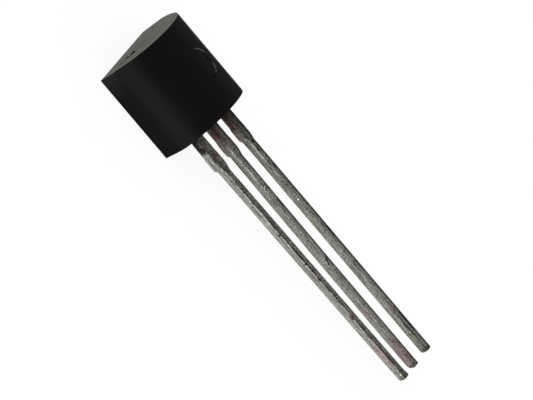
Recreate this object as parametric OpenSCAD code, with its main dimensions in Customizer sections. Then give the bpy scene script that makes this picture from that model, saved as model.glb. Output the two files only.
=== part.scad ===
// Three-lead moulded transistor in a D-shaped through-hole package, lying on its flat face.
// X runs along the row of leads, the leads point to -Y and Z is up, from the flat face to
// the round back. The origin is the middle of the flat face. All sizes are in millimetres.

/* [Moulded body] */
// Diameter of the round back
body_d = 4.58; // [4.3:0.01:5.2]
// Length of the body along the leads, measured at the parting plane
body_len = 4.67; // [4.3:0.01:5.3]
// Distance from the axis of the round back to the flat face
flat_depth = 1.17; // [1:0.01:1.5]
// Draft of the two side walls between the round back and the flat face, in degrees
wall_draft = 9.2; // [4:0.1:13]
// Draft of the two end faces, away from the parting plane, in degrees
end_draft = 1.7; // [0.5:0.1:4]
// Distance from the axis of the round back to the parting plane, towards the back
parting_offset = 0.23; // [0.1:0.01:0.4]

/* [Marks of the mould] */
// Diameter of the ejector pin's mark on the round back
pin_mark_d = 1.55; // [1:0.05:2]
// Depth of the ejector pin's mark
pin_mark_depth = 0.02; // [0.01:0.01:0.06]
// Distance of the gate scar's deep corner from the middle of the end face
gate_offset = 0.72; // [0.5:0.01:0.95]
// Height of the deep corner over the parting plane
gate_height = 0.22; // [0:0.01:0.4]
// Depth of the gate scar at its deep corner
gate_depth = 0.2; // [0.05:0.01:0.3]
// Length of the scar's long side, which runs out towards the left and the flat
gate_len = 0.9; // [0.6:0.01:1.1]
// Length of the scar's short side, towards the right and the flat
gate_width = 0.6; // [0.3:0.01:0.8]
// Angle between each side of the scar and the parting plane, in degrees
gate_angle = 40; // [25:1:55]

/* [Leads] */
// Distance between neighbouring leads
pitch = 1.27; // [1.15:0.01:1.35]
// Width of a lead, along the row
lead_w = 0.42; // [0.36:0.01:0.48]
// Thickness of the lead frame
lead_t = 0.4; // [0.34:0.01:0.45]
// Radius of a lead's four long edges
lead_edge_r = 0.085; // [0.04:0.005:0.12]
// Length of the leads from the body's end to their tips
lead_len = 14.62; // [5:0.01:16]
// Radius of the corners at a lead's sheared tip, seen from above
tip_r = 0.08; // [0.03:0.01:0.12]
// Radius at which the shear rolled the tip over, on the side of the flat
tip_roll_r = 0.2; // [0.05:0.01:0.25]
// Width of the shoulder next to the body
shoulder_w = 0.55; // [0.51:0.01:0.58]
// Length of the shoulder, up to what the dam bar left
shoulder_len = 1.1; // [0.6:0.01:1.6]
// Radius of the long edges of the shoulder and the dam bar's stump
shoulder_edge_r = 0.05; // [0.02:0.005:0.09]
// Width across the stumps of the cut dam bar
stump_w = 0.61; // [0.59:0.01:0.68]
// Length of the stumps
stump_len = 0.62; // [0.4:0.01:0.9]
// Distance by which the stumps stand out further on the left of a lead than on its right
stump_shift = 0.03; // [0:0.005:0.06]
// Length of the taper from the stumps to the lead, on its left
neck_len = 0.2; // [0.15:0.01:0.4]
// Distance by which the taper runs on further on the right of the lead
neck_skew = 0.27; // [0:0.01:0.35]
// Lean of the left lead towards the middle one, in degrees
left_lean = 1.1; // [0:0.1:2]
// Lean of the right lead away from the middle one, in degrees
right_lean = 0.2; // [0:0.1:2]

/* [Lead frame inside the body] */
// Width of the pad that carries the die
pad_w = 1.36; // [1.2:0.01:1.5]
// Length of the pad
pad_len = 1.9; // [1.4:0.01:2.2]
// Moulding compound between the pad and the body's far end
pad_cover = 0.95; // [0.6:0.01:1.2]
// Gap between the pad and the posts beside it
post_gap = 0.22; // [0.15:0.01:0.3]
// Distance by which a post's outer edge stands out past its shoulder
post_wing = 0.16; // [0.08:0.01:0.25]
// Length of a post's head
post_len = 1.1; // [0.8:0.01:1.4]
// Distance from the pad's far edge down to the top of a post
post_drop = 0.9; // [0.5:0.01:1.1]
// Cut across the corners of the pad and the posts
corner_cut = 0.12; // [0.05:0.01:0.2]
// Radius of the half-round notches that lock the frame in the compound
lock_r = 0.13; // [0.08:0.01:0.18]

/* [Die and bond wires] */
// Side of the square silicon die
die_w = 0.5; // [0.35:0.01:0.7]
// Thickness of the die
die_t = 0.2; // [0.15:0.01:0.25]
// Thickness of the solder that holds the die
solder_t = 0.02; // [0.01:0.005:0.04]
// Distance from the die's middle to each of its two bond pads
bond_offset = 0.12; // [0.09:0.01:0.15]
// Diameter of a bond wire
wire_d = 0.05; // [0.04:0.005:0.06]
// Height of a wire's loop over its chord
wire_loop = 0.32; // [0.2:0.01:0.4]
// Diameter of the ball at the die end of a wire
ball_d = 0.14; // [0.12:0.01:0.17]
// Height of the ball and of the stitch at the post
bond_h = 0.06; // [0.05:0.005:0.08]
// Length of the stitch
stitch_len = 0.18; // [0.14:0.01:0.25]

/* [Hidden] */
$fn = 64;
spare = 1; // how far a cutting shape stands past what it cuts

body_r = body_d / 2;
parting_z = flat_depth + parting_offset; // the parting plane is the mid plane of the lead frame
back_z = flat_depth + body_r;
end_y = body_len / 2;
wall_x = body_r * cos(wall_draft); // where a side wall is tangent to the round back
wall_z = flat_depth - body_r * sin(wall_draft);
flat_half = wall_x - wall_z * tan(wall_draft);

stump_y = -end_y - shoulder_len;
neck_y = stump_y - stump_len;
shaft_y = neck_y - neck_len;
shaft_len = lead_len - shoulder_len - stump_len - neck_len;
slice = 0.01; // thickness of the two sections that the neck is blended between
overlap = 0.05; // how far each stretch of a lead runs into the next one

frame_face_z = parting_z - lead_t / 2; // the frame's face on the side of the flat
pad_far_y = end_y - pad_cover;
pad_near_y = pad_far_y - pad_len;
die_y = (pad_far_y + pad_near_y) / 2;
post_far_y = pad_far_y - post_drop;
post_near_y = post_far_y - post_len;
post_in_x = pad_w / 2 + post_gap;
post_out_x = pitch + shoulder_w / 2 + post_wing;

die_face_z = frame_face_z - solder_t - die_t;
bond_x = (post_in_x + post_out_x) / 2;
bond_y = (post_far_y + post_near_y) / 2;
wire_from = [bond_offset, die_y, die_face_z - bond_h / 2];
wire_to = [bond_x, bond_y, frame_face_z - bond_h / 2];

// ---- Moulded body ----

// D-shaped section, with X across and Y up from the flat face
module body_section() {
    intersection() {
        translate([0, flat_depth]) circle(r = body_r);
        translate([-body_r - spare, wall_z]) square([body_d + 2 * spare, body_d]);
    }
    polygon([[-flat_half, 0], [flat_half, 0], [wall_x, wall_z], [-wall_x, wall_z]]);
}

// Side view of the body, with both ends drafted away from the parting plane
module body_profile() {
    flat_end = end_y - parting_z * tan(end_draft);
    back_end = end_y - (back_z - parting_z) * tan(end_draft);
    polygon([[-flat_end, 0], [flat_end, 0], [end_y, parting_z],
             [back_end, back_z], [-back_end, back_z], [-end_y, parting_z]]);
}

module body_shell() {
    intersection() {
        rotate([90, 0, 0]) linear_extrude(body_len, center = true) body_section();
        rotate([90, 0, 90]) linear_extrude(body_d + spare, center = true) body_profile();
    }
}

// Shallow disc that the ejector pin left on the round back
module pin_mark() {
    intersection() {
        translate([0, 0, parting_z]) cylinder(d = pin_mark_d, h = body_d);
        translate([0, 0, flat_depth]) rotate([90, 0, 0]) difference() {
            cylinder(r = body_r + spare, h = body_len, center = true);
            cylinder(r = body_r - pin_mark_depth, h = body_len + spare, center = true);
        }
    }
}

// Chip where the gate broke off: deep at one corner and running out along its two sides
module gate_scar() {
    k = (gate_depth + spare) / gate_depth;
    x = -gate_offset;
    z = parting_z + gate_height;
    rim_y = end_y + spare;
    polyhedron(
        points = [[x, end_y - gate_depth, z], [x, rim_y, z],
                  [x - k * gate_len * cos(gate_angle), rim_y, z - k * gate_len * sin(gate_angle)],
                  [x + k * gate_width * cos(gate_angle), rim_y, z - k * gate_width * sin(gate_angle)]],
        faces = [[0, 2, 1], [0, 1, 3], [0, 3, 2], [1, 2, 3]]);
}

module moulded_body() {
    color("#1c1c1c") difference() {
        body_shell();
        pin_mark();
        gate_scar();
        left_lead();
        middle_lead();
        right_lead();
        die();
        die_solder();
        left_bond_wire();
        right_bond_wire();
    }
}

// ---- Leads ----

// Section of a lead, with rounded edges
module lead_section(w, edge_r) {
    square([w - 2 * edge_r, lead_t], center = true);
    square([w, lead_t - 2 * edge_r], center = true);
    for (sx = [-1, 1], sy = [-1, 1])
        translate([sx * (w / 2 - edge_r), sy * (lead_t / 2 - edge_r)]) circle(r = edge_r);
}

// Stretch of lead that starts at the height y and runs towards the tip
module lead_bar(w, edge_r, y, len) {
    translate([0, y, 0]) rotate([90, 0, 0]) linear_extrude(len) lead_section(w, edge_r);
}

// Slender part of a lead seen from above, with the tip's rounded corners
module shaft_outline() {
    half = lead_w / 2;
    translate([-half, tip_r - shaft_len]) square([lead_w, shaft_len - tip_r]);
    translate([tip_r - half, -shaft_len]) square([lead_w - 2 * tip_r, 2 * tip_r]);
    for (side = [-1, 1])
        translate([side * (half - tip_r), tip_r - shaft_len]) circle(r = tip_r);
}

// Slender part seen from the side, with the edge that the shear rolled over
module shaft_side() {
    low = -lead_t / 2;
    translate([tip_roll_r - shaft_len, low]) square([shaft_len - tip_roll_r, lead_t]);
    translate([-shaft_len, low + tip_roll_r]) square([2 * tip_roll_r, lead_t - tip_roll_r]);
    translate([tip_roll_r - shaft_len, low + tip_roll_r]) circle(r = tip_roll_r);
}

module lead_shaft() {
    intersection() {
        lead_bar(lead_w, lead_edge_r, 0, shaft_len);
        linear_extrude(lead_t + spare, center = true) shaft_outline();
        rotate([90, 0, 90]) linear_extrude(lead_w + spare, center = true) shaft_side();
    }
}

// Thin section across the lead at the end of the neck, slanted because the neck is longer
// on its right
module slanted_section() {
    slant = neck_skew / lead_w;
    multmatrix([[1, 0, 0, 0], [-slant, 1, 0, -neck_skew / 2], [0, 0, 1, 0]])
        lead_bar(lead_w, lead_edge_r, 0, slice);
}

// A whole lead outside the body, centred on its own axis and reaching back past inner_y
// inside the body; the slender part leans by an angle about the end of the neck
module lead_outside(inner_y, lean) {
    lead_bar(shoulder_w, shoulder_edge_r, inner_y + overlap, inner_y - stump_y + 2 * overlap);
    translate([-stump_shift / 2, 0, 0]) lead_bar(stump_w, shoulder_edge_r, stump_y, stump_len);
    hull($fn = 32) {
        translate([-stump_shift / 2, 0, 0])
            lead_bar(stump_w, shoulder_edge_r, neck_y + overlap, overlap);
        translate([0, shaft_y, 0]) rotate([0, 0, lean]) slanted_section();
    }
    translate([0, shaft_y, 0]) rotate([0, 0, lean]) lead_shaft();
}

// Rectangle from [x0, y0] to [x1, y1] with its corners cut
module cut_corner_plate(x0, x1, y0, y1) {
    c = corner_cut;
    linear_extrude(lead_t, center = true)
        polygon([[x0 + c, y0], [x1 - c, y0], [x1, y0 + c], [x1, y1 - c],
                 [x1 - c, y1], [x0 + c, y1], [x0, y1 - c], [x0, y0 + c]]);
}

module lock_notch(x, y) {
    translate([x, y, 0]) cylinder(r = lock_r, h = lead_t + spare, center = true);
}

// Head of the right lead inside the body, where its bond wire lands; the left one mirrors it
module post() {
    difference() {
        cut_corner_plate(post_in_x, post_out_x, post_near_y, post_far_y);
        lock_notch(post_out_x, bond_y);
    }
}

module left_lead() {
    color("#8f8f8c") translate([0, 0, parting_z]) {
        translate([-pitch, 0, 0]) lead_outside(post_near_y, left_lean);
        mirror([1, 0, 0]) post();
    }
}

module right_lead() {
    color("#8f8f8c") translate([0, 0, parting_z]) {
        translate([pitch, 0, 0]) lead_outside(post_near_y, right_lean);
        post();
    }
}

module middle_lead() {
    color("#8f8f8c") translate([0, 0, parting_z]) {
        lead_outside(pad_near_y, 0);
        difference() {
            cut_corner_plate(-pad_w / 2, pad_w / 2, pad_near_y, pad_far_y);
            for (side = [-1, 1]) lock_notch(side * pad_w / 2, pad_near_y + 3 * lock_r);
        }
    }
}

// ---- Die, solder and bond wires ----

module die() {
    color("#5b6470") translate([-die_w / 2, die_y - die_w / 2, die_face_z])
        cube([die_w, die_w, die_t]);
}

module die_solder() {
    color("#a9abad") translate([-die_w / 2, die_y - die_w / 2, frame_face_z - solder_t])
        cube([die_w, die_w, solder_t]);
}

// A wire from the die to the right-hand post: ball, loop and stitch
module bond_wire() {
    run = [wire_to.x - wire_from.x, wire_to.y - wire_from.y];
    span = norm(run);
    rise = wire_to.z - wire_from.z;
    turn = atan2(run.y, run.x);
    chord = norm([span, rise]);
    loop_r = (chord * chord / 4 + wire_loop * wire_loop) / (2 * wire_loop);
    half_angle = asin(chord / (2 * loop_r));
    translate([wire_from.x, wire_from.y, die_face_z - bond_h])
        cylinder(d = ball_d, h = bond_h);
    translate([wire_to.x, wire_to.y, frame_face_z - bond_h / 2]) rotate([0, 0, turn])
        cube([stitch_len, 2 * wire_d, bond_h], center = true);
    translate(wire_from) rotate([0, 0, turn]) rotate([0, -atan2(rise, span), 0])
        translate([chord / 2, 0, loop_r - wire_loop]) rotate([90, 0, 0])
            rotate([0, 0, -90 - half_angle]) rotate_extrude(angle = 2 * half_angle)
                translate([loop_r, 0]) circle(d = wire_d, $fn = 8);
}

module right_bond_wire() {
    color("#d6a93c") bond_wire();
}

module left_bond_wire() {
    color("#d6a93c") mirror([1, 0, 0]) bond_wire();
}

moulded_body();
left_lead();
middle_lead();
right_lead();
die();
die_solder();
left_bond_wire();
right_bond_wire();
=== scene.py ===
import math
from contextlib import contextmanager
from functools import partial

import bmesh
import bpy
from mathutils import Matrix, Vector, noise


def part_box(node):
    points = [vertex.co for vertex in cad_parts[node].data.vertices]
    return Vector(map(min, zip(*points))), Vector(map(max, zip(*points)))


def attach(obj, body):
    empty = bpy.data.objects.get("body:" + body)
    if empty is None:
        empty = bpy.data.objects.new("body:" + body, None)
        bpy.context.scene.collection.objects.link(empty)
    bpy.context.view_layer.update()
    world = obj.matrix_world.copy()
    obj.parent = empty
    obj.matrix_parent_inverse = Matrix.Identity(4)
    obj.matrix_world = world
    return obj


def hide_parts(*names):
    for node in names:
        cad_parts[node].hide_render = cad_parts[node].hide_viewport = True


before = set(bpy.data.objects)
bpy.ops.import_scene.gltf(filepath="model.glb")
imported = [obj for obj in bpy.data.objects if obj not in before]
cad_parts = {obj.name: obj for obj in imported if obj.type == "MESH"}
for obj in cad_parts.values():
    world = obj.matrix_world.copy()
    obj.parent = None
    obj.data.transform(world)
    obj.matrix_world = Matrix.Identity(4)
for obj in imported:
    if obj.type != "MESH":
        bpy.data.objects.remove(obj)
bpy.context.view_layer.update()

mm = 0.001  # the settings are in millimetres, and Blender works in metres
noiseSpan = (0.3, 0.7)  # the range that a noise texture seldom leaves


def hexToLinear(code):
    # sRGB hex to the linear colour that the shaders take
    parts = [int(code[i:i + 2], 16) / 255 for i in (0, 2, 4)]
    linear = [p / 12.92 if p <= 0.04045 else ((p + 0.055) / 1.055) ** 2.4 for p in parts]
    return (*linear, 1.0)


def addNode(tree, kind, inputs=(), **settings):
    # one node with its settings; its inputs go by place in a list (a Map Range takes its value, from min,
    # from max, to min and to max) or by name in a dict, each a value, or a node or socket to link from
    node = tree.nodes.new(kind)
    for name, value in settings.items():
        setattr(node, name, value)
    pairs = inputs.items() if isinstance(inputs, dict) else enumerate(inputs)
    for key, value in pairs:
        socket = node.inputs[key] if isinstance(key, int) else next(
            s for s in node.inputs if s.enabled and s.name == key)
        if isinstance(value, bpy.types.Node):
            value = next(s for s in value.outputs if s.enabled)
        if isinstance(value, bpy.types.NodeSocket):
            tree.links.new(value, socket)
        else:
            socket.default_value = value
    return node


def rayKinds(add):
    # whether a ray comes straight from the camera, and whether it comes off or through something shiny
    path = add("ShaderNodeLightPath").outputs
    shiny = add("ShaderNodeMath", [path["Is Glossy Ray"], path["Is Transmission Ray"]], operation="MAXIMUM")
    return path["Is Camera Ray"], shiny


def setStops(ramp, stops):
    # colours at places; the ramp runs from the first place to the last
    low, high = stops[0][0], stops[-1][0]
    while len(ramp.color_ramp.elements) < len(stops):
        ramp.color_ramp.elements.new(0.5)
    for element, (place, colour) in zip(ramp.color_ramp.elements, stops):
        element.position = (place - low) / (high - low)
        element.color = colour


def newMaterial(name):
    # an empty material, and the function that adds a node to it
    material = bpy.data.materials.new(name)
    material.use_nodes = True
    material.node_tree.nodes.clear()
    return material, partial(addNode, material.node_tree)


def newObject(name, data):
    piece = bpy.data.objects.new(name, data)
    bpy.context.scene.collection.objects.link(piece)
    return piece


@contextmanager
def editing(mesh):
    # opens a mesh for editing, and writes it back at the end
    shape = bmesh.new()
    shape.from_mesh(mesh)
    yield shape
    shape.to_mesh(mesh)
    shape.free()


def meshFrom(name, vertices, faces):
    # vertices in mm
    mesh = bpy.data.meshes.new(name)
    mesh.from_pydata([Vector(v) * mm for v in vertices], [], faces)
    mesh.validate()
    return newObject(name, mesh)


def mergedCopy(nodeName, pieceName):
    # CAD meshes are loose triangles, so a copy is welded before it is worked on
    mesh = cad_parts[nodeName].data.copy()
    with editing(mesh) as shape:
        bmesh.ops.remove_doubles(shape, verts=shape.verts, dist=1e-8)
    mesh.materials.clear()
    return newObject(pieceName, mesh)


def freeze(piece):
    # the evaluated result becomes the piece's plain mesh, and its modifiers go
    mesh = bpy.data.meshes.new_from_object(piece.evaluated_get(bpy.context.evaluated_depsgraph_get()))
    piece.modifiers.clear()
    piece.data = mesh
    mesh.name = piece.name
    return piece


def combine(piece, other, operation, solver="EXACT", keepMaterials=False):
    # joins the other closed shape to the piece or cuts it out, and removes it
    step = piece.modifiers.new("combine", "BOOLEAN")
    step.operation = operation
    step.solver = solver
    step.object = other
    step.material_mode = "TRANSFER" if keepMaterials else "INDEX"
    freeze(piece)
    bpy.data.objects.remove(other)


def smoothShade(piece, sharpAngle):
    # smooth but for the sharp edges; large faces keep their own direction next to narrow roundings
    # (the Weighted Normal modifier can't tell faces of a part this small apart)
    normals = {}
    with editing(piece.data) as shape:
        for face in shape.faces:
            face.smooth = True
        for edge in shape.edges:
            edge.smooth = edge.calc_face_angle(math.pi) < math.radians(sharpAngle)
        areas = {face: face.calc_area() for face in shape.faces}
        for vertex in shape.verts:
            left = set(vertex.link_faces)
            while left:
                fan = [left.pop()]
                for face in fan:  # the list grows while it is walked
                    for edge in face.edges:
                        if edge.smooth and vertex in edge.verts:
                            for other in edge.link_faces:
                                if other in left:
                                    left.remove(other)
                                    fan.append(other)
                total = sum((face.normal * areas[face] for face in fan), Vector())
                for face in fan:
                    normals[face.index, vertex.index] = total.normalized()
    piece.data.normals_split_custom_set([normals[face.index, corner] for face in piece.data.polygons
                                         for corner in face.vertices])


cameraView = {
    "target": (-0.097, -6.825, 1.17),  # mm, the point in the middle of the view
    # degrees, for the part held upright with its leads down and its flat at the back
    "azimuth": 48.122,
    "elevation": 10.004,
    "roll": 40.217,
    "distance": 300.0,   # mm
    "sensorWidth": 36.0,  # mm
    "pixelsPerMm": 22.314,  # at the target
    "frameWidth": 533,   # pixels
    "offset": (-0.67, 0.72),  # pixels from the target to the middle of the view
}


def makeCamera(look):
    azimuth, elevation, roll = (math.radians(look[k]) for k in ("azimuth", "elevation", "roll"))
    forward = Vector((math.sin(azimuth) * math.cos(elevation), -math.sin(elevation),
                      -math.cos(azimuth) * math.cos(elevation)))
    level = Vector((math.cos(azimuth), 0, math.sin(azimuth)))
    upright = Vector((math.sin(azimuth) * math.sin(elevation), math.cos(elevation),
                      -math.cos(azimuth) * math.sin(elevation)))
    right = math.cos(roll) * level - math.sin(roll) * upright
    up = math.sin(roll) * level + math.cos(roll) * upright
    across, upwards = look["offset"]
    target = Vector(look["target"]) + (across * right + upwards * up) / look["pixelsPerMm"]
    place = (target - look["distance"] * forward) * mm
    data = bpy.data.cameras.new("camera")
    data.sensor_fit = "HORIZONTAL"
    data.sensor_width = look["sensorWidth"]
    data.lens = look["pixelsPerMm"] * look["distance"] * data.sensor_width / look["frameWidth"]
    camera = newObject("camera", data)
    turn = Matrix((right, up, -forward)).transposed().to_4x4()
    camera.matrix_world = Matrix.Translation(place) @ turn
    bpy.context.scene.camera = camera


makeCamera(cameraView)
print("camera done")


studio = {
    "floorSize": 6000.0,     # mm
    "floorColour": "f2f2f0",
    "floorWhite": 1.04,      # brightness of the rest of the floor's look, so that it is plain white
    "floorShadow": 0.14,     # share of the floor's look that its shading keeps
    # how bright shiny surfaces see the floor, painted as a pool of light that falls off along X: places in mm
    # along X with their levels and the share of blue there, the darker strip beside the body, a painted
    # shadow, with the mm over which it sets in and fades again along each axis, and the share that the
    # floor's own shading keeps
    "floorShine": {
        "levels": [(-9.0, 0.7, 1.0), (-5.0, 0.66, 1.0), (-1.0, 0.6, 1.0), (1.5, 0.6, 0.93),
                   (4.0, 0.32, 0.93), (6.0, 0.21, 1.0), (8.0, 0.18, 1.0), (14.0, 0.1, 1.0)],
        # past the closed end it stays lit
        "pastEnd": {"fromY": (2.2, 2.7), "colour": (0.63, 0.63, 0.585, 1)},
        "strip": {"X": ((-4.8, -2.9), (-1.0, 0.0)), "Y": ((-3.3, -2.5), (0.8, 2.6))},
        "stripDepth": 0.62, "shadow": 0.25,
    },
    "skyDiffuse": 0.75,      # brightness of the room on matt surfaces
    "walls": (0.66, 0.08),   # brightness of the low walls, left and right, that shiny surfaces show
    "ceiling": 0.2,          # and of all that is above them
    "wallTop": (0.1, 0.27),  # heights, as sines, between which the walls fade into the ceiling
    "wallTurn": (-0.3, 0.3),  # cosines from the right between which the left wall turns into the right one
    "lamps": {
        # direction from the part, distance and size in mm, radiance
        "softbox": {"towards": (-0.62, -0.22, 0.75), "distance": 420, "size": (170, 260), "radiance": 1.6},
        "endLight": {"towards": (-0.25, 0.85, 0.46), "distance": 500, "size": (260, 180), "radiance": 1.2},
    },
}


def makeFloor(look):
    half = look["floorSize"] / 2
    floor = meshFrom("floor", [(-half, -half, 0), (half, -half, 0), (half, half, 0), (-half, half, 0)],
                     [(0, 1, 2, 3)])
    material, add = newMaterial("pale studio floor")
    matt = add("ShaderNodeBsdfDiffuse", {"Color": hexToLinear(look["floorColour"])})
    white = add("ShaderNodeEmission", {"Color": (1, 1, 1, 1), "Strength": look["floorWhite"]})
    seen = add("ShaderNodeMixShader", [look["floorShadow"], white, matt])
    shine = look["floorShine"]
    onFloor = add("ShaderNodeTexCoord").outputs["Object"]
    place = add("ShaderNodeSeparateXYZ", [onFloor]).outputs
    # painted pool of light: the floor that shiny surfaces see gets its level from its place along X
    ends = shine["levels"][0][0] * mm, shine["levels"][-1][0] * mm
    across = add("ShaderNodeMapRange", [place["X"], *ends])
    ramp = add("ShaderNodeValToRGB", [across])
    ramp.color_ramp.interpolation = "EASE"
    setStops(ramp, [(x, (level, level, level * blue, 1)) for x, level, blue in shine["levels"]])
    past = add("ShaderNodeMapRange", [place["Y"], *(y * mm for y in shine["pastEnd"]["fromY"])],
               interpolation_type="SMOOTHSTEP")
    level = add("ShaderNodeMix", {"Factor": past, "A": ramp.outputs["Color"],
                "B": shine["pastEnd"]["colour"]}, data_type="RGBA").outputs[2]
    # painted shadow: that floor is darker in a strip beside the body
    strip = 1.0
    for axis, (setIn, fadeOut) in shine["strip"].items():
        for (start, stop), before in ((setIn, 0.0), (fadeOut, 1.0)):
            inside = add("ShaderNodeMapRange", [place[axis], start * mm, stop * mm, before, 1 - before],
                         interpolation_type="SMOOTHSTEP")
            strip = add("ShaderNodeMath", [strip, inside], operation="MULTIPLY")
    kept = add("ShaderNodeMath", [strip, -shine["stripDepth"], 1.0], operation="MULTIPLY_ADD")
    level = add("ShaderNodeVectorMath", {"Vector": level, "Scale": kept}, operation="SCALE")
    lit = add("ShaderNodeEmission", {"Color": level, "Strength": 1.0})
    shaded = add("ShaderNodeBsdfDiffuse", {"Color": level})
    mirrored = add("ShaderNodeMixShader", [shine["shadow"], lit, shaded])
    straight, shiny = rayKinds(add)
    reflected = add("ShaderNodeMixShader", [shiny, matt, mirrored])
    both = add("ShaderNodeMixShader", [straight, reflected, seen])
    add("ShaderNodeOutputMaterial", {"Surface": both})
    floor.data.materials.append(material)


def makeWorld(look):
    world = bpy.data.worlds.new("studio")
    bpy.context.scene.world = world
    world.use_nodes = True
    world.node_tree.nodes.clear()
    add = partial(addNode, world.node_tree)
    direction = add("ShaderNodeTexCoord").outputs["Generated"]
    axes = add("ShaderNodeSeparateXYZ", [direction]).outputs
    wall = add("ShaderNodeMapRange", [axes["X"], *look["wallTurn"], *look["walls"]],
               interpolation_type="SMOOTHSTEP")
    room = add("ShaderNodeMapRange", [axes["Z"], *look["wallTop"], wall, look["ceiling"]],
               interpolation_type="SMOOTHSTEP")
    straight, shiny = rayKinds(add)
    lit = add("ShaderNodeMix", {"Factor": shiny, "A": look["skyDiffuse"], "B": room})
    strength = add("ShaderNodeMix", {"Factor": straight, "A": lit, "B": 1.0})
    background = add("ShaderNodeBackground", {"Color": (1, 1, 1, 1), "Strength": strength})
    add("ShaderNodeOutputWorld", {"Surface": background})


def makeLamps(look):
    for name, lamp in look["lamps"].items():
        data = bpy.data.lights.new(name, "AREA")
        data.shape = "RECTANGLE"
        data.size, data.size_y = (s * mm for s in lamp["size"])
        data.energy = lamp["radiance"] * math.pi * data.size * data.size_y
        towards = Vector(lamp["towards"]).normalized()
        lampObject = newObject(name, data)
        lampObject.visible_glossy = False  # the shine comes from the room alone, without a lamp's hard shape
        lampObject.matrix_world = (Matrix.Translation(towards * lamp["distance"] * mm)
                                   @ towards.to_track_quat("Z", "Y").to_matrix().to_4x4())


makeFloor(studio)
makeWorld(studio)
makeLamps(studio)
bpy.context.scene.view_settings.view_transform = "Standard"
print("studio done")


bodyLow, bodyHigh = (Vector(corner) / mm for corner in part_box("moulded_body"))
leadLow, leadHigh = (Vector(corner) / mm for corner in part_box("middle_lead"))

mouldedBody = {
    "radius": (bodyHigh.x - bodyLow.x) / 2,
    "height": bodyHigh.z,
    "endY": bodyHigh.y,
    "partingZ": (leadLow.z + leadHigh.z) / 2,
    "wallDraft": 9.2,    # degrees
    "endDraft": 1.7,     # degrees
    "edgeRadius": 0.03,
    "edgeSteps": 3,
    "edgeAngle": 30,     # degrees from which an edge is rounded
    "sharpAngle": 25,    # and from which it is shaded sharp after that
    "arcSteps": 120,     # over the round back
    "pinMark": {"diameter": 1.53, "depth": 0.065, "flare": 0.38, "rings": 12, "turns": 96},
    "gateScar": {
        # each pit from its corner, which is given across and up from the parting plane, with the turn of
        # its long side in degrees; it is deepest at the corner
        "pits": [
            {"corner": (-0.97, 0.3), "turn": 225, "longSide": 0.42, "shortSide": 0.56, "depth": 0.2},
            {"corner": (-1.22, 0.05), "turn": 225, "longSide": 0.85, "shortSide": 0.42, "depth": 0.17},
        ],
        "rim": 0.12,         # how far the cutting shape stands out of the end
        "cuts": 16,          # of each of its edges, for the ragged floor
        "grain": 0.11, "roughness": 0.03,  # size and height of the floor's lumps
        "driftGrain": 0.33, "drift": 0.16, "driftTurn": 318,  # size, height and direction of its slow sway
        "seeds": (3.0, 10.0, 17.0),
    },
    "spare": 1.0,        # how far a cutting shape stands past what it cuts
}


def bodyOutline(look):
    # section seen from the lead end: flat, right wall, round back, left wall
    radius, draft = look["radius"], math.radians(look["wallDraft"])
    centreZ = look["height"] - radius
    wallX, wallZ = radius * math.cos(draft), centreZ - radius * math.sin(draft)
    parting = math.asin((look["partingZ"] - centreZ) / radius)
    stops = [-draft, parting, math.pi - parting, math.pi + draft]
    turns = []
    for start, end in zip(stops, stops[1:]):
        steps = max(4, round(look["arcSteps"] * (end - start) / math.pi))
        turns += [start + (end - start) * i / steps for i in range(steps)]
    arc = [(radius * math.cos(a), centreZ + radius * math.sin(a)) for a in turns + [stops[-1]]]
    flatHalf = wallX - wallZ * math.tan(draft)
    return [(flatHalf, 0.0)] + arc + [(-flatHalf, 0.0)]


def makeBodyShell(look):
    outline = bodyOutline(look)
    count = len(outline)
    slope = math.tan(math.radians(look["endDraft"]))
    reach = [look["endY"] - abs(z - look["partingZ"]) * slope for x, z in outline]
    vertices = [(x, -r, z) for (x, z), r in zip(outline, reach)]
    vertices += [(x, r, z) for (x, z), r in zip(outline, reach)]
    faces = [(i, count + i, count + (i + 1) % count, (i + 1) % count) for i in range(count)]
    upper = [i for i, (x, z) in enumerate(outline) if z > look["partingZ"] - 1e-6]
    lower = [upper[-1]] + list(range(upper[-1] + 1, count)) + list(range(upper[0] + 1))
    for part in (upper, lower):  # the end faces meet in a blunt ridge at the parting plane
        faces += [tuple(part), tuple(count + i for i in reversed(part))]
    body = meshFrom("mouldedBody", vertices, faces)
    with editing(body.data) as shape:
        bmesh.ops.recalc_face_normals(shape, faces=shape.faces)
    rounding = body.modifiers.new("edges", "BEVEL")
    rounding.width = look["edgeRadius"] * mm
    rounding.segments = look["edgeSteps"]
    rounding.limit_method = "ANGLE"
    rounding.angle_limit = math.radians(look["edgeAngle"])
    return freeze(body)


def makePinMark(look, satin, highlightWall):
    # a disc that follows the round back, a little below it, with its wall, which gets a painted highlight
    mark = look["pinMark"]
    floorRadius = look["radius"] - mark["depth"]
    centreZ, topZ = look["height"] - look["radius"], look["height"] + look["spare"]
    rings, turns = mark["rings"], mark["turns"]
    vertices = [(0, 0, centreZ + floorRadius)]
    for ring in range(1, rings + 1):
        r = mark["diameter"] / 2 * ring / rings
        for turn in range(turns):
            x, y = r * math.cos(2 * math.pi * turn / turns), r * math.sin(2 * math.pi * turn / turns)
            vertices.append((x, y, centreZ + math.sqrt(floorRadius ** 2 - x ** 2)))
    for x, y, z in vertices[-turns:]:
        wider = 1 + (topZ - z) * mark["flare"] / (mark["diameter"] / 2)
        vertices.append((x * wider, y * wider, topZ))
    starts = [1 + ring * turns for ring in range(rings + 1)]  # first vertex of each ring, the rim's last
    faces = [(0, 1 + (t + 1) % turns, 1 + t) for t in range(turns)]
    for inner, outer in zip(starts, starts[1:]):
        for t in range(turns):
            n = (t + 1) % turns
            faces.append((inner + t, inner + n, outer + n, outer + t))
    faces.append(tuple(starts[-1] + t for t in range(turns)))
    disc = meshFrom("pinMark", vertices, faces)
    disc.data.materials.append(satin)
    disc.data.materials.append(highlightWall)
    for face in disc.data.polygons:
        face.material_index = int(min(face.vertices) >= starts[-2])  # the wall round the disc
    return disc


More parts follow.
